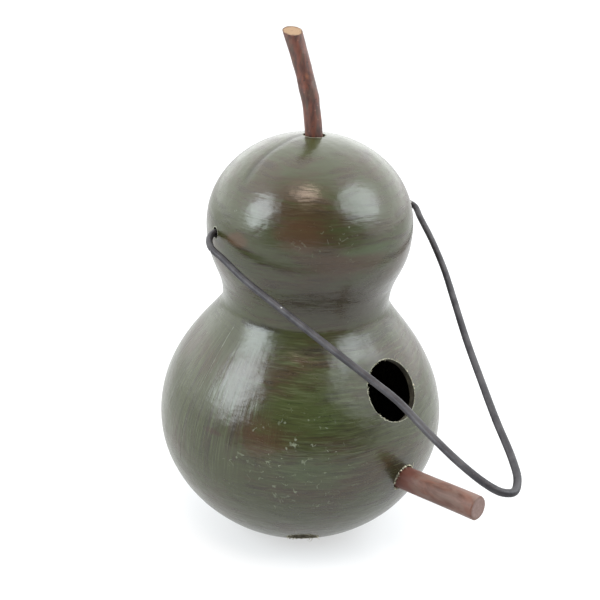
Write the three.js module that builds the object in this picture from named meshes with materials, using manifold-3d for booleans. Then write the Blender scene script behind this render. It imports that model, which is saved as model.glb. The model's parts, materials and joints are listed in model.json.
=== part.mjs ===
// Hanging birdhouse made from a dried bottle gourd: a hollow drilled shell with a twig for a stem,
// a twig for a perch and a loop of stiff wire for a bail.
// Millimetres, +Z up. The origin is on the gourd's axis, at the small flat that it stands on,
// and the entrance and the perch face -Y.
import * as THREE from 'three';
import { mergeVertices } from 'three/addons/utils/BufferGeometryUtils.js';
import Module from 'manifold-3d';

const wasm = await Module();
wasm.setup();

// Gourd: heights above the base, and outer radii
const flatRadius = 18;
const bellyHeight = 56;
const bellyRadius = 69;
const neckHeight = 117;
const neckRadius = 39.3;
const crownHeight = 152;
const crownRadius = 47.3;
const gourdHeight = 193;
const wallThickness = 3.4;

// Drilled holes
const entranceRadius = 14;
const entranceHeight = 90.7;
const entranceTilt = 34;
const drainRadius = 7.2;
const drainHeight = 15.5;
const drainTilt = -46;
const drainTurn = -40.5;
const bailHoleRadius = 2.4;

// Twig for a stem, set in the top of the gourd
const stemRadius = 4.1;
const stemRise = 44.6;
const stemLean = 11.8;
const stemInside = 12;

// Twig for a perch, set in the belly below the entrance
const perchRadius = 5.4;
const perchHeight = 50;
const perchReach = 40.5;
const perchInside = 10;
const perchTilt = 8.4;

// Wire bail: its hinge line runs through the two holes in the upper bulb, a little off level
const wireRadius = 1.5;
const hingeMiddle = new THREE.Vector3(0.45, 3.2, 154.7);
const hingeTurn = -11;
const hingeRise = 1.3;
const bailDroop = 18.3;
const hookLength = 10;
const hookHalfSpan = 36.8;

// Centre line of each leg in the bail's own plane: X along the hinge line, Y out from it
const leftLeg = [
  [-47.3, 0], [-50.7, 2.7], [-52.9, 7.6], [-53, 11.4], [-51.9, 16.5], [-49.5, 31.8], [-44.3, 51],
  [-37.7, 74.4], [-30.3, 99.6], [-27, 112], [-25.2, 130], [-22.9, 145], [-19.8, 155.6], [-16.8, 160.4],
];
const rightLeg = [
  [47.3, 0], [51, 1.4], [54.6, 3.1], [57.2, 5.6], [57.8, 8.4], [56.9, 11.4], [55.3, 15.3],
  [49.3, 33.2], [41.1, 53.4], [32.2, 71.6], [21.2, 93.9], [12, 114.4], [3.8, 133.2], [-3.2, 150.7],
  [-7.6, 158.4],
];
const bailApex = [-12.6, 162];

// Gap left where one piece sits in another
const fitGap = 0.35;

const upAxis = new THREE.Vector3(0, 0, 1);

// How the bail's own plane is turned: about the gourd's axis, up at the right, and drooping in front
const bailAngles = new THREE.Euler(
  THREE.MathUtils.degToRad(180 + bailDroop),
  THREE.MathUtils.degToRad(-hingeRise),
  THREE.MathUtils.degToRad(hingeTurn),
  'ZYX',
);

const paint = new THREE.MeshStandardMaterial({ color: 0x3b3f2b, roughness: 0.3, metalness: 0 });
const bark = new THREE.MeshStandardMaterial({ color: 0x5a3428, roughness: 0.75, metalness: 0 });
const stainedTwig = new THREE.MeshStandardMaterial({ color: 0x68392b, roughness: 0.6, metalness: 0 });
const darkWire = new THREE.MeshStandardMaterial({ color: 0x2b2a2e, roughness: 0.5, metalness: 0.8 });

// A geometry's closed solid, with shared corners joined and slivers at the axis dropped
function solidFrom(geometry) {
  const bare = geometry.clone();
  bare.deleteAttribute('normal');
  bare.deleteAttribute('uv');
  const merged = mergeVertices(bare, 1e-3);
  const index = merged.index.array;
  const triangles = [];
  for (let i = 0; i < index.length; i += 3) {
    const [a, b, c] = [index[i], index[i + 1], index[i + 2]];
    if (a !== b && b !== c && c !== a) {
      triangles.push(a, b, c);
    }
  }
  const vertProperties = new Float32Array(merged.attributes.position.array);
  const triVerts = new Uint32Array(triangles);
  return new wasm.Manifold(new wasm.Mesh({ numProp: 3, vertProperties, triVerts }));
}

function geometryFrom(solid) {
  const mesh = solid.getMesh();
  const geometry = new THREE.BufferGeometry();
  geometry.setAttribute('position', new THREE.Float32BufferAttribute(mesh.vertProperties, 3));
  geometry.setIndex(new THREE.Uint32BufferAttribute(mesh.triVerts, 1));
  geometry.computeVertexNormals();
  return geometry;
}

// Level direction that faces -Y at 0 degrees and +X at 90
function facing(degrees) {
  const angle = THREE.MathUtils.degToRad(degrees);
  return new THREE.Vector3(Math.sin(angle), -Math.cos(angle), 0);
}

// The same direction, raised by a tilt
function raised(degrees, tilt) {
  const angle = THREE.MathUtils.degToRad(tilt);
  return facing(degrees).multiplyScalar(Math.cos(angle)).addScaledVector(upAxis, Math.sin(angle));
}

// A rod between two points
function rodGeometry(start, end, radius, sides) {
  const span = new THREE.Vector3().subVectors(end, start);
  const geometry = new THREE.CylinderGeometry(radius, radius, span.length(), sides);
  const along = span.clone().normalize();
  geometry.applyQuaternion(new THREE.Quaternion().setFromUnitVectors(new THREE.Vector3(0, 1, 0), along));
  const middle = new THREE.Vector3().addVectors(start, end).multiplyScalar(0.5);
  geometry.translate(middle.x, middle.y, middle.z);
  return geometry;
}

// The gourd's outline as four curves: base to belly, belly to neck, neck to crown, crown to top
function gourdOutline(inset) {
  const foot = flatRadius - inset;
  const belly = bellyRadius - inset;
  const neck = neckRadius - inset;
  const crown = crownRadius - inset;
  const floor = inset;
  const top = gourdHeight - inset;
  const bellyToNeck = neckHeight - bellyHeight;
  const neckToCrown = crownHeight - neckHeight;
  const outline = new THREE.Path();
  outline.moveTo(0, floor);
  outline.lineTo(foot, floor);
  outline.bezierCurveTo(foot + (belly - foot) * 0.52, floor, belly, floor + (bellyHeight - floor) * 0.51,
    belly, bellyHeight);
  outline.bezierCurveTo(belly, bellyHeight + bellyToNeck * 0.56, neck, neckHeight - bellyToNeck * 0.15,
    neck, neckHeight);
  outline.bezierCurveTo(neck, neckHeight + neckToCrown * 0.42, crown, crownHeight - neckToCrown * 0.51,
    crown, crownHeight);
  outline.bezierCurveTo(crown, crownHeight + (top - crownHeight) * 0.54, crown * 0.6, top, 0, top);
  return outline;
}

function turnedSolid(outline, rows, segments) {
  const points = outline.getPoints(rows);
  points[0].x = 0;
  points[points.length - 1].x = 0;
  const geometry = new THREE.LatheGeometry(points, segments);
  geometry.rotateX(Math.PI / 2);
  return solidFrom(geometry);
}

// Outer radius of the gourd at a height
function gourdRadiusAt(height) {
  const points = gourdOutline(0).getPoints(40);
  const above = points.findIndex((point, i) => i > 1 && point.y >= height);
  const [low, high] = [points[above - 1], points[above]];
  return THREE.MathUtils.mapLinear(height, low.y, high.y, low.x, high.x);
}

// Point on the gourd's outside
function onGourd(turn, height) {
  return facing(turn).multiplyScalar(gourdRadiusAt(height)).setZ(height);
}

// Drill bit that passes through one wall only
function wallDrill(turn, height, tilt, radius, sides) {
  const centre = onGourd(turn, height);
  const direction = raised(turn, tilt);
  const outside = centre.clone().addScaledVector(direction, 12);
  const inside = centre.clone().addScaledVector(direction, -16);
  return solidFrom(rodGeometry(inside, outside, radius, sides));
}

// Drill bit that passes straight through both walls of the upper bulb, along the hinge line
function bailDrill() {
  const reach = new THREE.Vector3(crownRadius + 12, 0, 0).applyEuler(bailAngles);
  const left = hingeMiddle.clone().sub(reach);
  const right = hingeMiddle.clone().add(reach);
  return solidFrom(rodGeometry(left, right, bailHoleRadius, 12));
}

function perchEnds() {
  const root = onGourd(0, perchHeight);
  const direction = raised(0, perchTilt);
  const inner = root.clone().addScaledVector(direction, -perchInside);
  const outer = root.clone().addScaledVector(direction, perchReach);
  return [inner, outer];
}

// The stem rises straight out of the gourd and then curves over to one side
function stemPath() {
  const aside = facing(-134);
  const stations = [[-stemInside, 0], [0, 0.03], [0.3, 0.19], [0.53, 0.42], [0.7, 0.62], [1, 1]];
  return new THREE.CatmullRomCurve3(stations.map(([rise, lean], i) => {
    const height = i === 0 ? rise : rise * stemRise;
    return aside.clone().multiplyScalar(lean * stemLean).setZ(gourdHeight + height);
  }));
}

function gourdShell() {
  const outside = turnedSolid(gourdOutline(0), 8, 48);
  const hollow = turnedSolid(gourdOutline(wallThickness), 6, 36);
  const [perchInner, perchOuter] = perchEnds();
  const perchHole = solidFrom(rodGeometry(perchInner, perchOuter, perchRadius + fitGap, 16));
  const stemTop = new THREE.Vector3(0, 0, gourdHeight + 5);
  const stemBottom = new THREE.Vector3(0, 0, gourdHeight - stemInside);
  const stemHole = solidFrom(rodGeometry(stemBottom, stemTop, stemRadius + 2 * fitGap, 16));
  return outside
    .subtract(hollow)
    .subtract(wallDrill(0, entranceHeight, entranceTilt, entranceRadius, 32))
    .subtract(wallDrill(drainTurn, drainHeight, drainTilt, drainRadius, 24))
    .subtract(bailDrill())
    .subtract(perchHole)
    .subtract(stemHole);
}

function roundSection(radius, sides) {
  const section = new THREE.Shape();
  section.absarc(0, 0, radius, 0, Math.PI * 2);
  return new THREE.Shape(section.getPoints(sides / 2).slice(0, -1));
}

function stemGeometry() {
  const options = { extrudePath: stemPath(), steps: 14, bevelEnabled: false };
  return new THREE.ExtrudeGeometry(roundSection(stemRadius, 12), options);
}

// Each end of the wire passes in through its hole and turns back in a short hook inside the gourd
function hook(side) {
  const bend = [[0, -hookLength], [0, -5], [0.7, -1.7], [3, -0.2], [6, 0]];
  return bend.map(([x, y]) => [side * (hookHalfSpan + x), y]);
}

function bailPath() {
  const upTheLeft = [...hook(-1), ...leftLeg];
  const downTheRight = [...hook(1), ...rightLeg].reverse();
  const route = [...upTheLeft, bailApex, ...downTheRight];
  return new THREE.CatmullRomCurve3(route.map(([x, y]) => new THREE.Vector3(x, y, 0)), false, 'centripetal');
}

function bailGeometry() {
  const options = { extrudePath: bailPath(), steps: 130, bevelEnabled: false };
  return new THREE.ExtrudeGeometry(roundSection(wireRadius, 8), options);
}

function named(name, geometry, material) {
  const mesh = new THREE.Mesh(geometry, material);
  mesh.name = name;
  return mesh;
}

const birdhouse = new THREE.Group();
birdhouse.add(named('gourd_shell', geometryFrom(gourdShell()), paint));
birdhouse.add(named('stem_twig', stemGeometry(), bark));

const [perchInner, perchOuter] = perchEnds();
birdhouse.add(named('perch_twig', rodGeometry(perchInner, perchOuter, perchRadius, 16), stainedTwig));

const bailPivot = new THREE.Group();
bailPivot.position.copy(hingeMiddle);
bailPivot.rotation.copy(bailAngles);
bailPivot.add(named('wire_bail', bailGeometry(), darkWire));
birdhouse.add(bailPivot);

export default birdhouse;
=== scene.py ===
import json
import math
import random
import bpy
import bmesh
from mathutils import Matrix, Vector, noise


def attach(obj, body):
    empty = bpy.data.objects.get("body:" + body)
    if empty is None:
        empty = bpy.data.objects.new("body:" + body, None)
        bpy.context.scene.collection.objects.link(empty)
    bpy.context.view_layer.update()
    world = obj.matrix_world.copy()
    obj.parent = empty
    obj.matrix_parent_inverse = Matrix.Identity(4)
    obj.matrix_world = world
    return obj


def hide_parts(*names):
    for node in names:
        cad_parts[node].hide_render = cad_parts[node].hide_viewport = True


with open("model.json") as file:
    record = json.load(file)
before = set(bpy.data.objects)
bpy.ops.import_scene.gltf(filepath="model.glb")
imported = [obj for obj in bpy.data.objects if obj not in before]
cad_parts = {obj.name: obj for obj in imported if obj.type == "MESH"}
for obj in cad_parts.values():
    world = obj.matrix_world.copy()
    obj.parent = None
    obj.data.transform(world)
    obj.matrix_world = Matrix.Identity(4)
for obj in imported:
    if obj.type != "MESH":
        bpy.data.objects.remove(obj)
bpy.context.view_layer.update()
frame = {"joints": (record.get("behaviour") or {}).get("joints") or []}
scene = bpy.context.scene
scene.view_settings.view_transform = "Standard"
print("frame loaded")

cameraSetup = {
    "place": (-0.2780, -0.2762, 0.2873),
    "aim": (-0.0011, 0.0028, 0.1130),
    "roll": 2.83,  # degrees off level
    "lens": 54.4,
}

lightSetup = {
    "leftBox": {"turn": -107, "lift": 29, "away": 0.95, "size": (0.50, 0.70), "watts": 8.8,
                "tint": (0.88, 0.97, 1.0)},
    "rightBox": {"turn": 27, "lift": 41, "away": 0.95, "size": (0.76, 0.72), "watts": 8.8,
                 "tint": (0.88, 0.97, 1.0)},
    "warmLamp": {"turn": -54, "lift": 65, "away": 1.0, "size": (0.40, 0.24), "watts": 2.9,
                 "tint": (1.0, 0.78, 0.64)},
}

lightAim = (0, 0, 0.12)

surround = {
    "tint": (0.98, 1.0, 1.0),
    "bright": 2.6,            # white paper all round and overhead
    "dim": 0.12,              # the darker room that the entrance and the left side look out on
    "dimTurn": -45,
    "dimLift": 12,
    "dimReach": (0.0, 0.75),  # cosine where the room starts to dim, and where it is dimmest
    "floor": (0.33, 0.33, 0.337),
    "floorGlow": 0.55,        # the table is lit from below, so shadows stay pale
    "floorSize": 14,
}


def facing(turn, lift=0.0):  # a direction: turn 0 looks out through the entrance, 90 is +X
    turnAngle, liftAngle = math.radians(turn), math.radians(lift)
    level = math.cos(liftAngle)
    return Vector((math.sin(turnAngle) * level, -math.cos(turnAngle) * level, math.sin(liftAngle)))


def smoothStep(value, low, high):
    share = min(1.0, max(0.0, (value - low) / (high - low)))
    return share * share * (3 - 2 * share)


# helpers for node trees: a feed is either a plain value or another node's output

def node(tree, kind, settings, feeds):
    made = tree.nodes.new("ShaderNode" + kind)
    for key, value in settings.items():
        setattr(made, key, value)
    for key, value in feeds.items():
        if isinstance(value, bpy.types.NodeSocket):
            tree.links.new(value, made.inputs[key])
        else:
            made.inputs[key].default_value = value
    return made


def calc(tree, operation, a, b=0.0):
    return node(tree, "Math", {"operation": operation}, {0: a, 1: b}).outputs[0]


def times(tree, a, b):
    return calc(tree, "MULTIPLY", a, b)


def plus(tree, a, b):
    return calc(tree, "ADD", a, b)


def vectorCalc(tree, operation, a, b=(0, 0, 0)):
    made = node(tree, "VectorMath", {"operation": operation}, {0: a, 1: b})
    return made.outputs["Value" if operation in ("DOT_PRODUCT", "LENGTH", "DISTANCE") else "Vector"]


def fade(tree, value, low, high):  # 0 at low, rising smoothly to 1 at high
    settings = {"interpolation_type": "SMOOTHSTEP"}
    feeds = {"Value": value, "From Min": low, "From Max": high}
    return node(tree, "MapRange", settings, feeds).outputs["Result"]


def noiseAt(tree, place, scale, detail=2.0, rough=0.5, bend=0.0):
    feeds = {"Vector": place, "Scale": scale, "Detail": detail, "Roughness": rough, "Distortion": bend}
    return node(tree, "TexNoise", {}, feeds).outputs["Fac"]


def asColour(value):
    return (*value, 1) if isinstance(value, tuple) else value


def blendColour(tree, share, under, over):
    feeds = {0: share, 6: asColour(under), 7: asColour(over)}
    return node(tree, "Mix", {"data_type": "RGBA"}, feeds).outputs[2]


def blendValue(tree, share, under, over):
    return node(tree, "Mix", {"data_type": "FLOAT"}, {0: share, 2: under, 3: over}).outputs[0]


def stretched(tree, place, scale):
    return vectorCalc(tree, "MULTIPLY", place, scale)


def scaled(tree, vector, size):
    return node(tree, "VectorMath", {"operation": "SCALE"}, {0: vector, "Scale": size}).outputs["Vector"]


def heightOf(tree, place):
    return node(tree, "SeparateXYZ", {}, {0: place}).outputs["Z"]


def centred(tree, value, size):  # noise of 0 to 1 made a wander either way
    return times(tree, calc(tree, "SUBTRACT", value, 0.5), size)


def newGroup(name, takes, gives):
    group = bpy.data.node_groups.new(name, "ShaderNodeTree")
    for label, value in takes.items():
        kind = "NodeSocketVector" if isinstance(value, tuple) else "NodeSocketFloat"
        group.interface.new_socket(name=label, in_out="INPUT", socket_type=kind).default_value = value
    for label in gives:
        group.interface.new_socket(name=label, in_out="OUTPUT", socket_type="NodeSocketFloat")
    return group, group.nodes.new("NodeGroupInput").outputs, group.nodes.new("NodeGroupOutput").inputs


def useGroup(tree, group, feeds):
    return node(tree, "Group", {"node_tree": group}, feeds).outputs


def newMaterial(name, roughness=0.5):
    material = bpy.data.materials.new(name)
    material.use_nodes = True
    tree = material.node_tree
    shader = tree.nodes["Principled BSDF"]
    shader.inputs["Roughness"].default_value = roughness
    place = tree.nodes.new("ShaderNodeTexCoord").outputs["Object"]
    return material, tree, shader, place


def bumped(tree, shader, height, depth):  # depth in metres for a height of 1
    bump = node(tree, "Bump", {}, {"Height": height, "Strength": 1.0, "Distance": depth})
    tree.links.new(bump.outputs["Normal"], shader.inputs["Normal"])


def addCamera():
    lens = bpy.data.cameras.new("camera")
    lens.lens = cameraSetup["lens"]
    lens.clip_start = 0.01
    camera = bpy.data.objects.new("camera", lens)
    scene.collection.objects.link(camera)
    place, aim = Vector(cameraSetup["place"]), Vector(cameraSetup["aim"])
    level = (aim - place).to_track_quat("-Z", "Y").to_matrix().to_4x4()
    roll = Matrix.Rotation(math.radians(cameraSetup["roll"]), 4, "Z")
    camera.matrix_world = Matrix.Translation(place) @ level @ roll
    scene.camera = camera


def addLights():
    for name, box in lightSetup.items():
        light = bpy.data.lights.new(name, "AREA")
        light.shape = "ELLIPSE"
        light.size, light.size_y = box["size"]
        light.energy = box["watts"]
        light.color = box["tint"]
        lamp = bpy.data.objects.new(name, light)
        scene.collection.objects.link(lamp)
        out = facing(box["turn"], box["lift"])
        lamp.location = Vector(lightAim) + out * box["away"]
        lamp.rotation_euler = (-out).to_track_quat("-Z", "Y").to_euler()


def addWorld():  # white all round, with a dimmer room on one side that only shows in the gloss
    world = bpy.data.worlds.new("studio")
    world.use_nodes = True
    tree = world.node_tree
    direction = tree.nodes.new("ShaderNodeTexCoord").outputs["Generated"]
    towards = vectorCalc(tree, "DOT_PRODUCT", direction, facing(surround["dimTurn"], surround["dimLift"]))
    dimming = fade(tree, towards, *surround["dimReach"])
    seen = tree.nodes.new("ShaderNodeLightPath").outputs["Is Camera Ray"]
    dimming = times(tree, dimming, calc(tree, "SUBTRACT", 1.0, seen))
    fall = times(tree, dimming, surround["bright"] - surround["dim"])
    strength = calc(tree, "SUBTRACT", surround["bright"], fall)
    background = tree.nodes["Background"]
    background.inputs["Color"].default_value = (*surround["tint"], 1)
    tree.links.new(strength, background.inputs["Strength"])
    scene.world = world


def addFloor():
    bm = bmesh.new()
    bmesh.ops.create_grid(bm, x_segments=1, y_segments=1, size=surround["floorSize"] / 2)
    mesh = bpy.data.meshes.new("floor")
    bm.to_mesh(mesh)
    bm.free()
    floor = bpy.data.objects.new("floor", mesh)
    scene.collection.objects.link(floor)
    material, _, shader, _ = newMaterial("paperFloor", 0.9)
    shader.inputs["Base Color"].default_value = (*surround["floor"], 1)
    shader.inputs["Specular IOR Level"].default_value = 0.2
    shader.inputs["Emission Color"].default_value = (1, 1, 1, 1)
    shader.inputs["Emission Strength"].default_value = surround["floorGlow"]
    mesh.materials.append(material)


addCamera()
addLights()
addWorld()
addFloor()
print("camera, lights and floor placed")


# helpers for meshes

def finishMesh(bm, name, materials, sharpAngle=None):
    mesh = bpy.data.meshes.new(name)
    bm.to_mesh(mesh)
    bm.free()
    for material in materials:
        mesh.materials.append(material)
    piece = bpy.data.objects.new(name, mesh)
    scene.collection.objects.link(piece)
    mesh.shade_smooth()
    if sharpAngle is not None:
        mesh.set_sharp_from_angle(angle=math.radians(sharpAngle))
    return piece


def madeVerts(made):
    return [item for item in made if isinstance(item, bmesh.types.BMVert)]


def curvePoint(a, b, c, d, t):
    s = 1 - t
    return a * s ** 3 + b * 3 * s * s * t + c * 3 * s * t * t + d * t ** 3


def smoothPath(points, perSpan):  # a curve through the points that does not overshoot at tight bends
    points = [Vector(point) for point in points]
    points = [points[0] * 2 - points[1]] + points + [points[-1] * 2 - points[-2]]
    path = []
    for p0, p1, p2, p3 in zip(points, points[1:], points[2:], points[3:]):
        t0 = 0.0
        t1 = t0 + math.sqrt((p1 - p0).length)
        t2 = t1 + math.sqrt((p2 - p1).length)
        t3 = t2 + math.sqrt((p3 - p2).length)
        for step in range(perSpan):
            t = t1 + (t2 - t1) * step / perSpan
            a1 = p0 * ((t1 - t) / (t1 - t0)) + p1 * ((t - t0) / (t1 - t0))
            a2 = p1 * ((t2 - t) / (t2 - t1)) + p2 * ((t - t1) / (t2 - t1))
            a3 = p2 * ((t3 - t) / (t3 - t2)) + p3 * ((t - t2) / (t3 - t2))
            b1 = a1 * ((t2 - t) / (t2 - t0)) + a2 * ((t - t0) / (t2 - t0))
            b2 = a2 * ((t3 - t) / (t3 - t1)) + a3 * ((t - t1) / (t3 - t1))
            path.append(b1 * ((t2 - t) / (t2 - t1)) + b2 * ((t - t1) / (t2 - t1)))
    path.append(points[-2])
    return path


def sweepRound(bm, path, radii, sides):  # a round bar extruded ring by ring along a path
    tangent = (path[1] - path[0]).normalized()
    turn = Vector((0, 0, 1)).rotation_difference(tangent).to_matrix().to_4x4()
    place = Matrix.Translation(path[0]) @ turn @ Matrix.Scale(radii[0], 4)
    first = bmesh.ops.create_circle(bm, cap_ends=False, segments=sides, radius=1, matrix=place)["verts"]
    edges = list({edge for vert in first for edge in vert.link_edges})
    startRim = list(edges)
    for i in range(1, len(path)):
        ahead = path[min(i + 1, len(path) - 1)]
        newTangent = (ahead - path[i - 1]).normalized()
        newTurn = tangent.rotation_difference(newTangent).to_matrix().to_4x4() @ turn
        newPlace = Matrix.Translation(path[i]) @ newTurn @ Matrix.Scale(radii[i], 4)
        grown = bmesh.ops.extrude_edge_only(bm, edges=edges)["geom"]
        edges = [item for item in grown if isinstance(item, bmesh.types.BMEdge) and item.is_boundary]
        bmesh.ops.transform(bm, matrix=newPlace @ place.inverted(), verts=madeVerts(grown))
        tangent, turn, place = newTangent, newTurn, newPlace
    caps = bmesh.ops.holes_fill(bm, edges=startRim + edges, sides=0)["faces"]
    bmesh.ops.recalc_face_normals(bm, faces=bm.faces)
    return caps


def roughen(bm, path, swellAt):  # pushes a bar's surface out or in, by share of length and direction
    for vert in bm.verts:
        near = min(range(len(path)), key=lambda i: (path[i] - vert.co).length_squared)
        behind, ahead = path[max(near - 1, 0)], path[min(near + 1, len(path) - 1)]
        along = (ahead - behind).normalized()
        out = vert.co - path[near]
        out -= along * out.dot(along)
        if out.length > 1e-6:
            out.normalize()
            vert.co += out * swellAt(near / (len(path) - 1), out)


# gourd

gourd = {
    "flatRadius": 0.018,
    "bellyHeight": 0.056,
    "bellyRadius": 0.069,
    "neckHeight": 0.117,
    "neckRadius": 0.0393,
    "crownHeight": 0.152,
    "crownRadius": 0.0473,
    "height": 0.193,
    "wall": 0.0034,
    "columns": 264,
    "rows": 42,            # on each of the outline's four curves
    "insideColumns": 96,
    "insideRows": 18,
    "dents": 0.0006,       # depth of the slow unevenness of a grown thing
    "creaseDepth": 0.00022,  # soft fold that runs down from the stem
    "creaseWidth": 0.0022,
    "creaseAside": 0.0029,   # how far it runs from the middle of the left side, give or take its wander
    "creaseWander": 0.0012,
    "creaseFrom": 0.172,     # it starts here and is full at creaseFull
    "creaseFull": 0.182,
}

hinge = frame["joints"][0]
hingeMiddle = Vector(hinge["pos_m"])
hingeAcross = Vector(hinge["axis"]).normalized()

holes = {
    "entrance": {"turn": 0, "height": 0.0907, "tilt": 34, "radius": 0.0140, "rough": 0.00022},
    "lowerHole": {"turn": -40.5, "height": 0.0155, "tilt": -46, "radius": 0.0072, "rough": 0.0003},
    "perchHole": {"turn": 0, "height": 0.0500, "tilt": 8.4, "radius": 0.00595, "rough": 0.0003},
    "stemHole": {"turn": 0, "height": 0.193, "tilt": 90, "radius": 0.0048, "rough": 0.0003},
}
bailHole = {"radius": 0.0024, "rough": 0.00022, "out": 0.0465}  # out: from the axis to the skin
drilling = {"inside": 0.016, "outside": 0.012, "bailReach": 0.060, "steps": 14}


def gourdOutline(inset, rows):
    foot = gourd["flatRadius"] - inset
    belly = gourd["bellyRadius"] - inset
    neck = gourd["neckRadius"] - inset
    crown = gourd["crownRadius"] - inset
    top = gourd["height"] - inset
    bellyHeight, neckHeight, crownHeight = gourd["bellyHeight"], gourd["neckHeight"], gourd["crownHeight"]
    bellyToNeck = neckHeight - bellyHeight
    neckToCrown = crownHeight - neckHeight
    curves = [
        ((foot, inset), (foot + (belly - foot) * 0.52, inset),
         (belly, inset + (bellyHeight - inset) * 0.51), (belly, bellyHeight)),
        ((belly, bellyHeight), (belly, bellyHeight + bellyToNeck * 0.56),
         (neck, neckHeight - bellyToNeck * 0.15), (neck, neckHeight)),
        ((neck, neckHeight), (neck, neckHeight + neckToCrown * 0.42),
         (crown, crownHeight - neckToCrown * 0.51), (crown, crownHeight)),
        ((crown, crownHeight), (crown, crownHeight + (top - crownHeight) * 0.54),
         (crown * 0.6, top), (0, top)),
    ]
    outline = [Vector((foot * share, inset)) for share in (0, 0.25, 0.5, 0.75)]
    for curve in curves:
        a, b, c, d = (Vector(point) for point in curve)
        outline += [curvePoint(a, b, c, d, row / rows) for row in range(rows)]
    outline.append(Vector((0, top)))
    return outline


skinLine = gourdOutline(0, 60)[4:]


def gourdRadiusAt(height):
    for low, high in zip(skinLine, skinLine[1:]):
        if low.y <= height <= high.y:
            return low.x + (high.x - low.x) * (height - low.y) / max(high.y - low.y, 1e-9)
    return 0.0


def onGourd(turn, height, out=0.0):
    place = facing(turn) * (gourdRadiusAt(height) + out)
    place.z = height
    return place


def dentAt(point):  # always inwards, and none at the flat base
    slow = noise.noise(point * 24 + Vector((3.1, 0.4, 7.7)))
    quick = noise.noise(point * 75 + Vector((0.3, 5.2, 1.9)))
    depth = max(0.0, gourd["dents"] * (0.62 - slow * 0.75 - quick * 0.16))
    if point.x < 0 and point.z > gourd["creaseFrom"]:
        wander = gourd["creaseAside"] + noise.noise(Vector((0, 0, point.z * 120))) * gourd["creaseWander"]
        fold = math.exp(-((point.y - wander) / gourd["creaseWidth"]) ** 2)
        depth += gourd["creaseDepth"] * fold * smoothStep(point.z, gourd["creaseFrom"], gourd["creaseFull"])
    return depth * smoothStep(point.z, 0.002, 0.02)


def turnedSkin(bm, inset, columns, rows):
    verts = [bm.verts.new((point.x, 0, point.y)) for point in gourdOutline(inset, rows)]
    edges = [bm.edges.new(pair) for pair in zip(verts, verts[1:])]
    bmesh.ops.spin(bm, geom=verts + edges, cent=(0, 0, 0), axis=(0, 0, 1), dvec=(0, 0, 0),
                   angle=math.tau, steps=columns, use_merge=True, use_duplicate=False)
    bmesh.ops.remove_doubles(bm, verts=bm.verts, dist=1e-6)
    bmesh.ops.recalc_face_normals(bm, faces=bm.faces)


def gourdSkin():
    bm = bmesh.new()
    turnedSkin(bm, 0, gourd["columns"], gourd["rows"])
    inside = bmesh.new()
    turnedSkin(inside, gourd["wall"], gourd["insideColumns"], gourd["insideRows"])
    bmesh.ops.reverse_faces(inside, faces=inside.faces)
    for face in inside.faces:
        face.material_index = 1
    innerMesh = bpy.data.meshes.new("innerSkin")
    inside.to_mesh(innerMesh)
    inside.free()
    bm.from_mesh(innerMesh)
    bpy.data.meshes.remove(innerMesh)
    for vert in bm.verts:
        out = Vector((vert.co.x, vert.co.y, 0))
        if out.length > 1e-5:
            vert.co -= out.normalized() * dentAt(vert.co)
    return bm


def drill(name, start, end, hole):  # a drill whose bite is slightly torn all round
    steps = drilling["steps"]
    span = end - start
    bm = bmesh.new()
    sides = 96 if hole["radius"] > 0.005 else 40
    bmesh.ops.create_circle(bm, cap_ends=True, segments=sides, radius=hole["radius"])
    face = bm.faces[:]
    for step in range(steps):
        grown = bmesh.ops.extrude_face_region(bm, geom=face)["geom"]
        bmesh.ops.translate(bm, vec=(0, 0, span.length / steps), verts=madeVerts(grown))
        if step > 0:
            bmesh.ops.delete(bm, geom=face, context="FACES_ONLY")
        face = [item for item in grown if isinstance(item, bmesh.types.BMFace)]
    for vert in bm.verts:
        around = Vector((vert.co.x, vert.co.y, 0)).normalized()
        tear = noise.noise(around * 3 + Vector((0, 0, vert.co.z * 90)))
        nick = noise.noise(around * 14 + Vector((4, 0, vert.co.z * 260)))
        vert.co += around * hole["rough"] * (tear * 0.7 + nick * 0.9)
    bmesh.ops.recalc_face_normals(bm, faces=bm.faces)
    turn = Vector((0, 0, 1)).rotation_difference(span).to_matrix().to_4x4()
    bmesh.ops.transform(bm, matrix=Matrix.Translation(start) @ turn, verts=bm.verts)
    return finishMesh(bm, name, [bareRind])


def makeDrills():
    drills = []
    for name, hole in holes.items():
        middle, direction = onGourd(hole["turn"], hole["height"]), facing(hole["turn"], hole["tilt"])
        start, end = middle - direction * drilling["inside"], middle + direction * drilling["outside"]
        drills.append(drill(name + "Drill", start, end, hole))
    reach = hingeAcross * drilling["bailReach"]
    drills.append(drill("bailDrill", hingeMiddle - reach, hingeMiddle + reach, bailHole))
    return drills


def buildGourd():
    body = finishMesh(gourdSkin(), "gourdBody", [lacqueredRind, bareRind])
    drills = makeDrills()
    for bit in drills:
        cut = body.modifiers.new(bit.name, "BOOLEAN")
        cut.operation = "DIFFERENCE"
        cut.solver = "EXACT"
        cut.material_mode = "TRANSFER"
        cut.object = bit
    shaped = bpy.data.meshes.new_from_object(body.evaluated_get(bpy.context.evaluated_depsgraph_get()))
    body.modifiers.clear()
    body.data = shaped
    for bit in drills:
        bpy.data.objects.remove(bit)
    shaped.shade_smooth()
    shaped.set_sharp_from_angle(angle=math.radians(38))
    return body


chips = {  # flakes of rind and paint lifted at the edges of the drilled holes
    "entrance": {"count": 74, "size": (0.00016, 0.00042), "fibres": 7},
    "lowerHole": {"count": 46, "size": (0.0002, 0.0006), "fibres": 6},
    "perchHole": {"count": 52, "size": (0.0002, 0.0008), "fibres": 10},
    "long": (0.8, 1.9),      # a flake's shape, as shares of its size
    "wide": (0.5, 0.9),
    "thin": 0.35,
    "fibreReach": (0.0010, 0.0026),
    "fibreRadius": 0.00007,
    "seed": 5,
}


def anyDirection(rng):
    return Vector([rng.uniform(-1, 1) for _ in range(3)]).normalized()


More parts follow.
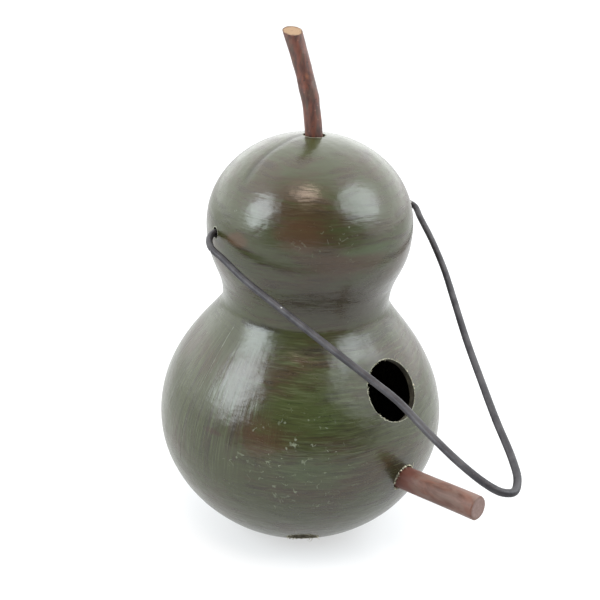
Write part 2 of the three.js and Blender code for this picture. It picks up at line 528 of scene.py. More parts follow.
def edgePoint(hole, angle):  # where the drilled edge meets the outside of the gourd
    direction = facing(hole["turn"], hole["tilt"])
    sideways = Vector((0, 0, 1)).cross(direction).normalized()
    upwards = direction.cross(sideways)
    ringPoint = onGourd(hole["turn"], hole["height"])
    ringPoint += (sideways * math.cos(angle) + upwards * math.sin(angle)) * hole["radius"]
    low, high = -0.014, 0.010
    for _ in range(26):
        middle = (low + high) / 2
        point = ringPoint + direction * middle
        if Vector((point.x, point.y)).length > gourdRadiusAt(max(point.z, 0)):
            high = middle
        else:
            low = middle
    return ringPoint + direction * low, direction


def buildChips():
    rng = random.Random(chips["seed"])
    bm = bmesh.new()
    for name in ("entrance", "lowerHole", "perchHole"):
        for _ in range(chips[name]["count"]):
            point, direction = edgePoint(holes[name], rng.uniform(0, math.tau))
            size = rng.uniform(*chips[name]["size"])
            flake = bmesh.ops.create_icosphere(bm, subdivisions=1, radius=1)["verts"]
            angle = rng.uniform(0, math.tau)
            turn = Matrix.Rotation(angle, 4, anyDirection(rng))
            length, width = size * rng.uniform(*chips["long"]), size * rng.uniform(*chips["wide"])
            flat = Matrix.Diagonal((length, width, size * chips["thin"], 1))
            lie = Matrix.Translation(point - direction * size * 0.5)
            bmesh.ops.transform(bm, matrix=lie @ turn @ flat, verts=flake)
        for _ in range(chips[name]["fibres"]):
            point, direction = edgePoint(holes[name], rng.uniform(0, math.tau))
            drift = anyDirection(rng)
            reach = rng.uniform(*chips["fibreReach"])
            route = [
                point - direction * 0.0004,
                point + direction * 0.0003,
                point + direction * 0.0004 + drift * reach * 0.5,
                point + direction * 0.0001 + drift * reach,
            ]
            path = smoothPath(route, 4)
            sweepRound(bm, path, [chips["fibreRadius"]] * len(path), 5)
    return finishMesh(bm, "holeEdgeChips", [liftedRind])


# gourd finishes

paint = {
    "olive": (0.030, 0.033, 0.011),
    "brown": (0.032, 0.020, 0.008),
    "deep": (0.011, 0.010, 0.005),
    "bristle": (0.062, 0.072, 0.034),
    "scratch": (0.13, 0.145, 0.095),
    "darkLine": (0.010, 0.008, 0.005),
    "tornEdge": (0.20, 0.20, 0.15),
    "roughness": 0.25,
    "ior": 1.51,
    "strokeDepth": 0.0001,
    # height of each mark beside a stroke's
    "relief": {"bristles": 0.45, "pores": 0.12, "lumps": 3.3, "lightMarks": 1.2, "darkLines": -2.5},
}

# patches of other colour in the paint: middle, half size, raggedness, colour, strength
patches = [
    # red brown on the bulb
    ((-0.0349, -0.0294, 0.1625), (0.013, 0.013, 0.009), 0.35, (0.048, 0.025, 0.012), 0.8),
    ((-0.0180, -0.0430, 0.1500), (0.020, 0.014, 0.007), 0.45, (0.040, 0.021, 0.009), 0.7),
    # green streak
    ((-0.0100, -0.0460, 0.1554), (0.020, 0.012, 0.0022), 0.5, (0.036, 0.052, 0.018), 0.7),
    # brown on the belly
    ((-0.0560, -0.0340, 0.0760), (0.014, 0.014, 0.010), 0.5, (0.046, 0.025, 0.012), 0.8),
    # green round the belly
    ((-0.0480, -0.0480, 0.0880), (0.026, 0.024, 0.014), 0.5, (0.034, 0.046, 0.013), 0.7),
    ((-0.0420, -0.0540, 0.0620), (0.018, 0.016, 0.009), 0.5, (0.032, 0.047, 0.014), 0.6),
    # darker patch above the perch
    ((-0.0060, -0.0690, 0.0570), (0.010, 0.010, 0.008), 0.5, (0.016, 0.016, 0.007), 0.85),
    # by the bail's hole
    ((-0.0469, -0.0037, 0.1553), (0.005, 0.007, 0.0035), 0.5, (0.060, 0.030, 0.014), 0.8),
    # painted shade in the hollow where it narrows
    ((-0.0380, -0.0120, 0.1150), (0.006, 0.014, 0.0024), 0.7, (0.014, 0.012, 0.007), 0.85),
    ((-0.0260, -0.0310, 0.1090), (0.014, 0.012, 0.0026), 0.6, (0.016, 0.015, 0.008), 0.7),
    ((0.0060, -0.0400, 0.1105), (0.022, 0.012, 0.0030), 0.6, (0.020, 0.019, 0.010), 0.65),
    # a small dark red-brown patch on the left of the belly, below the waist
    ((-0.0656, -0.0104, 0.0730), (0.005, 0.006, 0.0020), 0.6, (0.030, 0.014, 0.008), 0.8),
    # brown all round the neck, with painted shade under the bulb
    ((-0.0100, -0.0300, 0.1300), (0.040, 0.034, 0.017), 0.4, (0.023, 0.016, 0.008), 0.75),
]

# where the paint is scuffed, and where handling has dulled it: middle, half size, raggedness, strength
scuffZones = [
    ((-0.046, -0.046, 0.064), (0.030, 0.030, 0.023), 0.5, 1.0),
    ((-0.028, -0.040, 0.158), (0.022, 0.020, 0.012), 0.5, 0.35),
]
dulledZone = ((-0.008, -0.052, 0.094), (0.026, 0.022, 0.013), 0.5, 0.32)

# how far the torn rim of each drilled hole reaches
tornReach = {
    "entrance": 0.00042, "lowerHole": 0.0008, "perchHole": 0.0005, "stemHole": 0.0006, "bailHole": 0.0005,
}

# fine lines that run down the gourd: level direction across them, shift, lowest and highest point, width
acrossLines = {
    # the crease line is painted shade along the fold below the stem
    "crease": ((0, 1, 0), 0.0028, 0.1760, 0.1950, 0.0030),
    "scratch": ((0, 1, 0), 0.0032, 0.0840, 0.1125, 0.00022),
    "crack": ((0.02, 1, 0.10), 0.0115, 0.0480, 0.0725, 0.00024),
}
lineTaper = 0.004  # they fade out over this length at each end


# brush marks: how closely the noise behind them sits, per metre and per turn, level and up the gourd
brush = {
    "roundStrokes": (60, 60, 520),
    "roundBristles": (90, 90, 1500),
    "downStrokes": (34, 34),
    "downBristles": (110, 60),
    "wobble": 0.004,
    "downTurn": -92,             # the side where the strokes run down
    "downReach": (0.72, 0.95),   # cosine where they start and where they have taken over
    "downLow": (0.036, 0.064),   # heights between which they fade in and out
    "downHigh": (0.116, 0.100),
}

origin = (0.0, 0.0, 0.0)


def downNoise(tree, level, place, closeness, detail):
    across, upwards = closeness
    aside, raised = stretched(tree, level, (across, across, 0)), stretched(tree, place, (0, 0, upwards))
    return noiseAt(tree, vectorCalc(tree, "ADD", aside, raised), 1.0, detail, 0.6)


def brushGroup():  # strokes run round the gourd, and down it at the left
    group, takes, gives = newGroup("brushMarks", {"Place": origin}, ["Strokes", "Bristles"])
    place = takes["Place"]
    height = heightOf(group, place)
    level = vectorCalc(group, "NORMALIZE", stretched(group, place, (1, 1, 0)))
    wobble = noiseAt(group, place, 45, 1)
    lifted = plus(group, height, times(group, wobble, brush["wobble"]))
    raisedUp = node(group, "CombineXYZ", {}, {"Z": lifted}).outputs[0]
    roundPlace = vectorCalc(group, "ADD", stretched(group, place, (1, 1, 0)), raisedUp)
    roundStrokes = noiseAt(group, stretched(group, roundPlace, brush["roundStrokes"]), 1.0, 3, 0.6)
    roundBristles = noiseAt(group, stretched(group, roundPlace, brush["roundBristles"]), 1.0, 2, 0.6)
    downStrokes = downNoise(group, level, place, brush["downStrokes"], 3)
    downBristles = downNoise(group, level, place, brush["downBristles"], 2)
    sideways = vectorCalc(group, "DOT_PRODUCT", level, facing(brush["downTurn"]))
    ragged = plus(group, sideways, centred(group, wobble, 0.5))
    aboveLow, belowHigh = fade(group, height, *brush["downLow"]), fade(group, height, *brush["downHigh"])
    onBelly = times(group, belowHigh, aboveLow)
    down = times(group, fade(group, ragged, *brush["downReach"]), onBelly)
    group.links.new(blendValue(group, down, roundStrokes, downStrokes), gives["Strokes"])
    group.links.new(blendValue(group, down, roundBristles, downBristles), gives["Bristles"])
    return group


def patchGroup():
    feeds = {"Place": origin, "Middle": origin, "Size": (0.01, 0.01, 0.01), "Ragged": 0.4}
    group, takes, gives = newGroup("softPatch", feeds, ["Mask"])
    offset = vectorCalc(group, "SUBTRACT", takes["Place"], takes["Middle"])
    away = vectorCalc(group, "LENGTH", vectorCalc(group, "DIVIDE", offset, takes["Size"]))
    torn = centred(group, noiseAt(group, stretched(group, takes["Place"], (90, 90, 260)), 1.0, 4, 0.6), 3.0)
    away = plus(group, away, times(group, torn, takes["Ragged"]))
    group.links.new(fade(group, away, 1.15, 0.35), gives["Mask"])
    return group


def lineGroup():  # a thin line where a level plane's edge would cut the skin, on the left side only
    feeds = {"Place": origin, "Across": (0.0, 1.0, 0.0), "Shift": 0.0,
             "Low": 0.0, "High": 0.1, "Width": 0.0003}
    group, takes, gives = newGroup("scoreLine", feeds, ["Mask"])
    place = takes["Place"]
    off = calc(group, "SUBTRACT", vectorCalc(group, "DOT_PRODUCT", place, takes["Across"]), takes["Shift"])
    off = plus(group, off, centred(group, noiseAt(group, place, 60, 3), 0.0022))
    thin = times(group, takes["Width"], noiseAt(group, place, 300, 2))
    thin = plus(group, thin, times(group, takes["Width"], 0.4))
    outward = calc(group, "DIVIDE", calc(group, "ABSOLUTE", off), thin)
    line = calc(group, "SUBTRACT", 1.0, calc(group, "MINIMUM", outward, 1.0))
    height = heightOf(group, place)
    aboveLow = fade(group, calc(group, "SUBTRACT", height, takes["Low"]), 0.0, lineTaper)
    belowHigh = fade(group, calc(group, "SUBTRACT", takes["High"], height), 0.0, lineTaper)
    leftSide = fade(group, vectorCalc(group, "DOT_PRODUCT", place, (-1, 0, 0)), 0.0, lineTaper)
    between = times(group, aboveLow, belowHigh)
    group.links.new(times(group, times(group, line, between), leftSide), gives["Mask"])
    return group


def edgeGroup():
    feeds = {"Place": origin, "Middle": origin, "Along": (0.0, 0.0, 1.0), "Radius": 0.01, "Reach": 0.0006}
    group, takes, gives = newGroup("drilledEdge", feeds, ["Rim", "NearShade"])
    offset = vectorCalc(group, "SUBTRACT", takes["Place"], takes["Middle"])
    along = vectorCalc(group, "DOT_PRODUCT", offset, takes["Along"])
    aside = vectorCalc(group, "SUBTRACT", offset, scaled(group, takes["Along"], along))
    radial = vectorCalc(group, "LENGTH", aside)
    beyond = calc(group, "SUBTRACT", radial, takes["Radius"])
    torn = centred(group, noiseAt(group, takes["Place"], 620, 3, 0.65), 0.0018)
    sameSide = fade(group, calc(group, "ABSOLUTE", along), 0.016, 0.013)
    ragged = calc(group, "DIVIDE", plus(group, beyond, torn), takes["Reach"])
    group.links.new(times(group, fade(group, ragged, 1.1, 0.6), sameSide), gives["Rim"])
    # the second output is painted shade, darkening the paint towards the hole's edge
    group.links.new(times(group, fade(group, beyond, 0.0045, 0.0), sameSide), gives["NearShade"])
    return group


def speckGroup():
    feeds = {"Place": origin, "Scale": 200.0, "Share": 0.05, "Size": 0.1}
    group, takes, gives = newGroup("specks", feeds, ["Mask"])
    cells = node(group, "TexVoronoi", {}, {"Vector": takes["Place"], "Scale": takes["Scale"]})
    lot = node(group, "SeparateXYZ", {}, {0: cells.outputs["Color"]}).outputs["X"]
    chosen = calc(group, "LESS_THAN", lot, takes["Share"])
    edge = calc(group, "DIVIDE", cells.outputs["Distance"], takes["Size"])
    group.links.new(times(group, fade(group, edge, 1.2, 0.7), chosen), gives["Mask"])
    return group


def curlGroup():  # short curly scuffs, along the contours of a noise
    feeds = {"Place": origin, "Scale": 200.0, "Width": 0.02}
    group, takes, gives = newGroup("curlyScuffs", feeds, ["Mask"])
    swirl = noiseAt(group, takes["Place"], takes["Scale"], 1.5, 0.5, 0.8)
    near = calc(group, "ABSOLUTE", calc(group, "SUBTRACT", swirl, 0.5))
    line = fade(group, calc(group, "DIVIDE", near, takes["Width"]), 1.0, 0.2)
    elsewhere = vectorCalc(group, "ADD", takes["Place"], (0.3, 0.1, 0.2))
    broken = fade(group, noiseAt(group, elsewhere, 330, 2), 0.55, 0.62)
    group.links.new(times(group, line, broken), gives["Mask"])
    return group


brushMarks, softPatch, scoreLine = brushGroup(), patchGroup(), lineGroup()
drilledEdge, specks, curlyScuffs = edgeGroup(), speckGroup(), curlGroup()


def maskPatch(tree, place, middle, size, ragged):
    feeds = {"Place": place, "Middle": middle, "Size": size, "Ragged": ragged}
    return useGroup(tree, softPatch, feeds)["Mask"]


def maskSpecks(tree, place, scale, share, size):
    return useGroup(tree, specks, {"Place": place, "Scale": scale, "Share": share, "Size": size})["Mask"]


def maskLine(tree, place, name):
    across, shift, low, high, width = acrossLines[name]
    feeds = {"Place": place, "Across": across, "Shift": shift, "Low": low, "High": high, "Width": width}
    return useGroup(tree, scoreLine, feeds)["Mask"]


def strongest(tree, masks):
    most = masks[0]
    for mask in masks[1:]:
        most = calc(tree, "MAXIMUM", most, mask)
    return most


def makeLacqueredRind():
    material, tree, shader, place = newMaterial("lacqueredRind", paint["roughness"])
    shader.inputs["IOR"].default_value = paint["ior"]
    marks = useGroup(tree, brushMarks, {"Place": place})
    strokes, bristles = marks["Strokes"], marks["Bristles"]

    # ground colour: olive over brown, cloudy and brushed
    cloud = noiseAt(tree, stretched(tree, place, (20, 20, 34)), 1.0, 4, 0.6)
    streaky = plus(tree, times(tree, cloud, 0.6), times(tree, strokes, 0.4))
    colour = blendColour(tree, fade(tree, streaky, 0.46, 0.60), paint["olive"], paint["brown"])
    deep = times(tree, fade(tree, strokes, 0.50, 0.70), 0.5)
    colour = blendColour(tree, deep, colour, paint["deep"])
    for middle, size, ragged, tint, strength in patches:
        mask = times(tree, maskPatch(tree, place, middle, size, ragged), strength)
        colour = blendColour(tree, mask, colour, tint)
    aboveFoot = fade(tree, heightOf(tree, place), 0.030, 0.066)
    belowNeck = fade(tree, heightOf(tree, place), 0.122, 0.104)
    belly = times(tree, aboveFoot, belowNeck)
    bristly = plus(tree, times(tree, belly, 0.42), 0.10)
    brushed = times(tree, fade(tree, bristles, 0.52, 0.68), bristly)
    colour = blendColour(tree, brushed, colour, paint["bristle"])
    gaps = times(tree, fade(tree, bristles, 0.46, 0.34), times(tree, bristly, 0.9))
    colour = blendColour(tree, gaps, colour, paint["deep"])

    # scuffs, scratches and specks
    scuffed = strongest(tree, [
        times(tree, maskPatch(tree, place, middle, size, ragged), strength)
        for middle, size, ragged, strength in scuffZones
    ])
    curls = useGroup(tree, curlyScuffs, {"Place": place, "Scale": 165.0, "Width": 0.026})["Mask"]
    scuffs = times(tree, curls, scuffed)
    dots = maskSpecks(tree, place, 150.0, 0.035, 0.075)
    crumbs = maskSpecks(tree, place, 270.0, 0.07, 0.14)
    crumbs = times(tree, crumbs, plus(tree, scuffed, 0.12))
    scratch = maskLine(tree, place, "scratch")
    lightMarks = strongest(tree, [scuffs, dots, crumbs, times(tree, scratch, 0.8)])
    colour = blendColour(tree, times(tree, lightMarks, 0.9), colour, paint["scratch"])
    # the crease line darkens the paint as painted shade in the fold; the crack is a real dark crack
    crease, crack = maskLine(tree, place, "crease"), maskLine(tree, place, "crack")
    darkLines = strongest(tree, [times(tree, crease, 0.7), crack])
    colour = blendColour(tree, times(tree, darkLines, 0.85), colour, paint["darkLine"])

    # torn edges of the drilled holes, and painted shade round them
    drilled = []
    for name, hole in holes.items():
        middle, along = onGourd(hole["turn"], hole["height"]), facing(hole["turn"], hole["tilt"])
        drilled.append((middle, along, hole["radius"], tornReach[name]))
    for side in (-1, 1):
        middle, along = hingeMiddle + hingeAcross * side * bailHole["out"], hingeAcross * side
        drilled.append((middle, along, bailHole["radius"], tornReach["bailHole"]))
    rims, shadesNearHoles = [], []
    for middle, along, radius, reach in drilled:
        feeds = {"Place": place, "Middle": middle, "Along": along, "Radius": radius, "Reach": reach}
        edge = useGroup(tree, drilledEdge, feeds)
        rims.append(edge["Rim"])
        shadesNearHoles.append(edge["NearShade"])
    rim = strongest(tree, rims)
    # painted shade: the paint darkens within 4.5 mm of each drilled hole
    colour = blendColour(tree, times(tree, strongest(tree, shadesNearHoles), 0.25), colour, paint["deep"])
    colour = blendColour(tree, times(tree, rim, 0.75), colour, paint["tornEdge"])
    tree.links.new(colour, shader.inputs["Base Color"])

    # gloss: brushed, with duller scuffs and edges
    rough = plus(tree, paint["roughness"] - 0.05, times(tree, strokes, 0.12))
    rough = plus(tree, rough, times(tree, strongest(tree, [lightMarks, rim]), 0.3))
    middle, size, ragged, dulling = dulledZone
    dulled = times(tree, maskPatch(tree, place, middle, size, ragged), dulling)
    rough = plus(tree, rough, dulled)
    tree.links.new(rough, shader.inputs["Roughness"])

    pores = noiseAt(tree, place, 900, 2)
    lumps = noiseAt(tree, stretched(tree, place, (110, 110, 170)), 1.0, 2, 0.5)
    raised = {"bristles": bristles, "pores": pores, "lumps": lumps,
              "lightMarks": lightMarks, "darkLines": darkLines}
    height = strokes
    for name, share in paint["relief"].items():
        height = plus(tree, height, times(tree, raised[name], share))
    bumped(tree, shader, height, paint["strokeDepth"])
    return material


def makeBareRind():  # the cut wall and the rough inside
    material, tree, shader, place = newMaterial("bareRind", 0.92)
    fibre = noiseAt(tree, stretched(tree, place, (420, 420, 180)), 1.0, 4, 0.6)
    stain = noiseAt(tree, place, 60, 3)
    colour = blendColour(tree, fade(tree, fibre, 0.35, 0.68), (0.030, 0.028, 0.018), (0.095, 0.088, 0.058))
    colour = blendColour(tree, fade(tree, stain, 0.42, 0.66), colour, (0.022, 0.017, 0.011))
    lowest = onGourd(holes["lowerHole"]["turn"], 0.0125)
    # lighter round the lower hole's cut wall: bare rind, with painted light from the floor below
    paleRindAndFloorLight = fade(tree, vectorCalc(tree, "DISTANCE", place, lowest), 0.0085, 0.0065)
    colour = blendColour(tree, paleRindAndFloorLight, colour, (0.21, 0.19, 0.14))
    tree.links.new(colour, shader.inputs["Base Color"])
    bumped(tree, shader, fibre, 0.00025)
    return material


def makeLiftedRind():
    material, tree, shader, place = newMaterial("liftedRind", 0.85)
    patchy = noiseAt(tree, place, 700, 2)
    colour = blendColour(tree, fade(tree, patchy, 0.4, 0.6), (0.46, 0.43, 0.33), (0.19, 0.18, 0.12))
    tree.links.new(colour, shader.inputs["Base Color"])
    return material


lacqueredRind, bareRind, liftedRind = makeLacqueredRind(), makeBareRind(), makeLiftedRind()

gourdBody = buildGourd()
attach(gourdBody, "gourd")
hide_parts("gourd_shell")
print("gourd shell drilled:", len(gourdBody.data.polygons), "faces")

edgeChips = buildChips()
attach(edgeChips, "gourd")
print("chips at the hole edges:", len(edgeChips.data.polygons), "faces")


# stem twig

stem = {
    "radii": ((0, 0.00395), (0.25, 0.0039), (0.40, 0.0037), (0.5, 0.0039),
              (0.62, 0.00375), (0.85, 0.0039), (1, 0.0041)),
    "widest": 0.00422,       # no ridge or knot stands out beyond this radius
    "rise": 0.0446, "lean": 0.0118, "towards": -134, "inside": 0.012, "sides": 44,
    "cutFacing": (-44, 71),  # turn and lift of the way the sawn end faces
    "cutBelow": 0.0013,
    "spare": 0.003,          # grown past the end, then sawn off
    "barkWidth": 0.0006,
    "ridges": 0.00018,
    "knots": ((0.52, -40, 0.00035, 0.035), (0.60, -95, 0.0003, 0.03),  # share of length, turn, size, spread
              (0.43, 60, 0.0003, 0.04), (0.83, -20, 0.0002, 0.03)),
}


def stepped(table, share):  # value from a short table of (share, value)
    for (low, first), (high, second) in zip(table, table[1:]):
        if share <= high:
            return first + (second - first) * smoothStep(share, low, high)
    return table[-1][1]


def stemSwell(share, out):
    swell = noise.noise(Vector((out.x * 2.6, out.y * 2.6, share * 3.2))) * stem["ridges"]
    swell += noise.noise(Vector((out.x * 6, out.y * 6, share * 16 + 7))) * stem["ridges"] * 0.6
    swell -= abs(noise.noise(Vector((out.x * 4, out.y * 4, share * 5 + 3)))) * stem["ridges"] * 0.5
    for knotShare, turn, size, spread in stem["knots"]:
        nearness = max(0.0, out.dot(facing(turn))) ** 5
        swell += size * nearness * math.exp(-((share - knotShare) / spread) ** 2)
    return min(swell, stem["widest"] - stepped(stem["radii"], share))


def buildStem():
    aside = facing(stem["towards"])
    stations = [(0, 0.03), (0.3, 0.19), (0.53, 0.42), (0.7, 0.62), (1, 1)]
    points = [Vector((0, 0, gourd["height"] - stem["inside"]))]
    for rise, lean in stations:
        points.append(aside * lean * stem["lean"] + Vector((0, 0, gourd["height"] + rise * stem["rise"])))
    path = smoothPath(points, 26)
    end = path[-1]
    path.append(end + (end - path[-2]).normalized() * stem["spare"])
    radii = [stepped(stem["radii"], i / (len(path) - 1)) for i in range(len(path))]
    bm = bmesh.new()
    sweepRound(bm, path, radii, stem["sides"])
    roughen(bm, path, stemSwell)
    everything = bm.verts[:] + bm.edges[:] + bm.faces[:]
    cutPoint, cutFacing = end - Vector((0, 0, stem["cutBelow"])), facing(*stem["cutFacing"])
    sawn = bmesh.ops.bisect_plane(bm, geom=everything, dist=1e-7, plane_co=cutPoint,
                                  plane_no=cutFacing, clear_outer=True)["geom_cut"]
    rim = [item for item in sawn if isinstance(item, bmesh.types.BMEdge)]
    cap = bmesh.ops.holes_fill(bm, edges=rim, sides=0)["faces"]
    wood = bmesh.ops.inset_region(bm, faces=cap, thickness=stem["barkWidth"], depth=0)["faces"]
    wood += bmesh.ops.poke(bm, faces=cap)["faces"]
    for face in wood:
        face.material_index = 1
    bmesh.ops.recalc_face_normals(bm, faces=bm.faces)
    return finishMesh(bm, "stemTwig", [stemBark, cutWood], sharpAngle=45)


def makeStemBark():
    material, tree, shader, place = newMaterial("stemBark", 0.5)
    grain = noiseAt(tree, stretched(tree, place, (520, 520, 150)), 1.0, 4, 0.65)
    cloud = noiseAt(tree, stretched(tree, place, (240, 240, 70)), 1.0, 3, 0.6)
    colour = blendColour(tree, fade(tree, grain, 0.33, 0.70), (0.032, 0.009, 0.005), (0.112, 0.031, 0.016))
    lichen = times(tree, fade(tree, cloud, 0.52, 0.60), 0.45)
    colour = blendColour(tree, lichen, colour, (0.058, 0.040, 0.024))
    rightSide = maskPatch(tree, place, (0.003, -0.001, 0.218), (0.0035, 0.0045, 0.020), 0.7)
    colour = blendColour(tree, times(tree, rightSide, 0.7), colour, (0.095, 0.078, 0.050))
    knot = maskPatch(tree, place, (-0.0062, -0.0006, 0.2185), (0.0016, 0.0016, 0.0018), 0.7)
    colour = blendColour(tree, times(tree, knot, 0.7), colour, (0.24, 0.080, 0.030))
    dark = maskSpecks(tree, place, 900.0, 0.10, 0.3)
    pale = maskSpecks(tree, place, 760.0, 0.06, 0.22)
    colour = blendColour(tree, times(tree, dark, 0.7), colour, (0.020, 0.010, 0.008))
    colour = blendColour(tree, times(tree, pale, 0.5), colour, (0.26, 0.14, 0.11))
    tree.links.new(colour, shader.inputs["Base Color"])
    height = plus(tree, grain, times(tree, dark, -0.5))
    bumped(tree, shader, height, 0.00022)
    return material


def makeCutWood():
    material, tree, shader, place = newMaterial("cutWood", 0.8)
    tip = Vector((0, 0, gourd["height"] + stem["rise"])) + facing(stem["towards"]) * stem["lean"]
    along = facing(stem["towards"], 72)
    offset = vectorCalc(tree, "SUBTRACT", place, tip)
    lift = scaled(tree, along, vectorCalc(tree, "DOT_PRODUCT", offset, along))
    away = vectorCalc(tree, "LENGTH", vectorCalc(tree, "SUBTRACT", offset, lift))
    ringPlace = node(tree, "CombineXYZ", {}, {0: times(tree, away, 2400)}).outputs[0]
    rings = noiseAt(tree, ringPlace, 1.0, 2)
    colour = blendColour(tree, fade(tree, rings, 0.3, 0.7), (0.185, 0.110, 0.056), (0.27, 0.172, 0.098))
    ragged = plus(tree, away, centred(tree, noiseAt(tree, place, 700, 2), 0.0016))
    colour = blendColour(tree, fade(tree, ragged, 0.0032, 0.0039), colour, (0.075, 0.034, 0.017))
    colour = blendColour(tree, fade(tree, ragged, 0.0006, 0.0001), colour, (0.14, 0.075, 0.038))
    tree.links.new(colour, shader.inputs["Base Color"])
    bumped(tree, shader, rings, 0.0001)
    return material


stemBark, cutWood = makeStemBark(), makeCutWood()
stemTwig = buildStem()
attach(stemTwig, "gourd")
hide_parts("stem_twig")
print("stem grown:", len(stemTwig.data.polygons), "faces")


# perch twig

perch = {
    "radius": 0.0053, "reach": 0.0404, "inside": 0.010, "tilt": 8.4, "height": 0.050, "sides": 52,
    "softEdge": 0.0006,
    "grooves": 0.00014,
    "proud": 0.00008,        # the most that the bark stands out
    "endRing": 0.0012,
    "knots": ((0.55, -70, 0.0002, 0.05), (0.78, 120, 0.0002, 0.04)),
}


def perchSwell(share, out):
    around = math.atan2(out.x, out.z)
    ring = Vector((math.cos(around), math.sin(around), 0))
    swell = noise.noise(ring * 3.4 + Vector((0, 0, share * 1.6))) * perch["grooves"]
    swell += noise.noise(ring * 9 + Vector((0, 0, share * 4 + 5))) * perch["grooves"] * 0.6
    for knotShare, turn, size, spread in perch["knots"]:
        nearness = max(0.0, math.cos(around - math.radians(turn))) ** 6
        swell += size * nearness * math.exp(-((share - knotShare) / spread) ** 2)
    return min(swell, perch["proud"])


def buildPerch():
    root, out = onGourd(0, perch["height"]), facing(0, perch["tilt"])
    start, end = root - out * perch["inside"], root + out * perch["reach"]
    soft = perch["softEdge"]
    straight = [start.lerp(end - out * soft, i / 70) for i in range(71)]
    rounding = [math.radians(angle) for angle in (25, 50, 72)]
    path = straight + [end - out * soft * (1 - math.sin(angle)) for angle in rounding]
    radii = [perch["radius"]] * len(straight)
    radii += [perch["radius"] - soft * (1 - math.cos(angle)) for angle in rounding]
    bm = bmesh.new()
    caps = sweepRound(bm, path, radii, perch["sides"])
    roughen(bm, path, perchSwell)
    outerCap = min(caps, key=lambda face: face.calc_center_median().y)
    rings = [outerCap]
    for _ in range(2):
        rings += bmesh.ops.inset_region(bm, faces=[outerCap], thickness=perch["endRing"], depth=0)["faces"]
    for face in rings:
        face.material_index = 1
    return finishMesh(bm, "perchTwig", [perchStain, perchEndGrain], sharpAngle=50)


def makePerchStain():
    material, tree, shader, place = newMaterial("perchStain", 0.55)
    grain = noiseAt(tree, stretched(tree, place, (330, 90, 330)), 1.0, 4, 0.6, 0.6)
    cloud = noiseAt(tree, stretched(tree, place, (150, 60, 150)), 1.0, 3, 0.6, 0.5)
    colour = blendColour(tree, fade(tree, grain, 0.32, 0.68), (0.062, 0.021, 0.011), (0.118, 0.047, 0.030))
    worn = times(tree, fade(tree, cloud, 0.50, 0.62), 0.65)
    colour = blendColour(tree, worn, colour, (0.115, 0.070, 0.054))
    root = onGourd(0, perch["height"])
    nearRoot = fade(tree, vectorCalc(tree, "DISTANCE", place, root), 0.014, 0.006)
    colour = blendColour(tree, times(tree, nearRoot, 0.6), colour, (0.085, 0.021, 0.014))
    ember = maskPatch(tree, place, (-0.0015, -0.0850, 0.0602), (0.0022, 0.0040, 0.0016), 0.7)
    colour = blendColour(tree, times(tree, ember, 0.5), colour, (0.30, 0.085, 0.035))
    dark = maskSpecks(tree, stretched(tree, place, (1, 0.4, 1)), 700.0, 0.06, 0.2)
    colour = blendColour(tree, times(tree, dark, 0.6), colour, (0.040, 0.016, 0.012))
    tree.links.new(colour, shader.inputs["Base Color"])
    bumped(tree, shader, calc(tree, "SUBTRACT", grain, dark), 0.00012)
    return material


def makePerchEndGrain():
    material, tree, shader, place = newMaterial("perchEndGrain", 0.75)
    fibres = noiseAt(tree, place, 900, 3, 0.55)
    colour = blendColour(tree, fade(tree, fibres, 0.30, 0.72), (0.122, 0.074, 0.063), (0.168, 0.107, 0.093))
    middle = onGourd(0, perch["height"]) + facing(0, perch["tilt"]) * perch["reach"]
    edge = fade(tree, vectorCalc(tree, "DISTANCE", place, middle), 0.0038, 0.0052)
    colour = blendColour(tree, times(tree, edge, 0.8), colour, (0.085, 0.040, 0.026))
    tree.links.new(colour, shader.inputs["Base Color"])
    bumped(tree, shader, fibres, 0.00005)
    return material


perchStain, perchEndGrain = makePerchStain(), makePerchEndGrain()
perchTwig = buildPerch()
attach(perchTwig, "gourd")
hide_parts("perch_twig")
print("perch grown:", len(perchTwig.data.polygons), "faces")


# wire bail: points in its own plane in mm, across from the middle of the hinge line and out from it

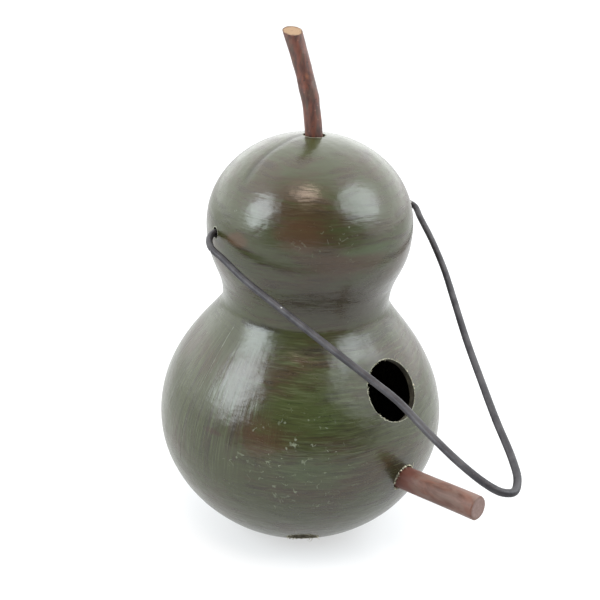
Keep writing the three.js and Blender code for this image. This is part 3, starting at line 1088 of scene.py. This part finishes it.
bail = {
    "radius": 0.00146, "droop": 18.3, "sides": 20, "uneven": 0.00003,
    "hookHalfSpan": 36.8, "hook": ((0, -10), (0, -5), (0.7, -1.7), (3, -0.2), (6, 0)),
    "leftLeg": [
        (-47.3, 0), (-50.7, 2.7), (-52.9, 7.6), (-53, 11.4), (-51.9, 16.5), (-49.5, 31.8), (-44.3, 51),
        (-37.7, 74.4), (-30.3, 99.6), (-27, 112), (-25.2, 130), (-22.9, 145), (-19.8, 155.6), (-16.8, 160.4),
    ],
    "rightLeg": [
        (47.3, 0), (51, 1.4), (54.6, 3.1), (57.2, 5.6), (57.8, 8.4), (56.9, 11.4), (55.3, 15.3),
        (49.3, 33.2), (41.1, 53.4), (32.2, 71.6), (21.2, 93.9), (12, 114.4), (3.8, 133.2), (-3.2, 150.7),
        (-7.6, 158.4),
    ],
    "apex": (-12.6, 162),
}


def bailRoute():
    span = bail["hookHalfSpan"]
    left = [(-span - x, y) for x, y in bail["hook"]] + bail["leftLeg"]
    right = [(span + x, y) for x, y in bail["hook"]] + bail["rightLeg"]
    return left + [bail["apex"]] + right[::-1]


def buildBail():
    levelOut = hingeAcross.cross(Vector((0, 0, 1))).normalized()
    raisedUp = levelOut.cross(hingeAcross)
    if raisedUp.z < 0:
        raisedUp.negate()
    droop = math.radians(bail["droop"])
    out = levelOut * math.cos(droop) - raisedUp * math.sin(droop)
    places = [hingeMiddle + hingeAcross * (x / 1000) + out * (y / 1000) for x, y in bailRoute()]
    path = smoothPath(places, 10)
    radii = [bail["radius"] + noise.noise(point * 160) * bail["uneven"] for point in path]
    bm = bmesh.new()
    sweepRound(bm, path, radii, bail["sides"])
    return finishMesh(bm, "wireBail", [darkWire], sharpAngle=50)


def makeDarkWire():
    material, tree, shader, place = newMaterial("darkWire", 0.5)
    oxide = noiseAt(tree, place, 120, 4, 0.6)
    fine = noiseAt(tree, place, 1100, 3, 0.6)
    colour = blendColour(tree, fade(tree, oxide, 0.38, 0.64), (0.020, 0.018, 0.021), (0.042, 0.039, 0.042))
    bright = maskSpecks(tree, place, 420.0, 0.05, 0.16)
    colour = blendColour(tree, times(tree, bright, 0.7), colour, (0.50, 0.49, 0.47))
    tree.links.new(colour, shader.inputs["Base Color"])
    shader.inputs["Metallic"].default_value = 0.5
    rough = plus(tree, 0.38, times(tree, fine, 0.25))
    tree.links.new(rough, shader.inputs["Roughness"])
    bumped(tree, shader, plus(tree, fine, times(tree, oxide, 1.5)), 0.00004)
    return material


darkWire = makeDarkWire()
wireBail = buildBail()
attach(wireBail, "bail")
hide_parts("wire_bail")
print("wire bent:", len(wireBail.data.polygons), "faces")
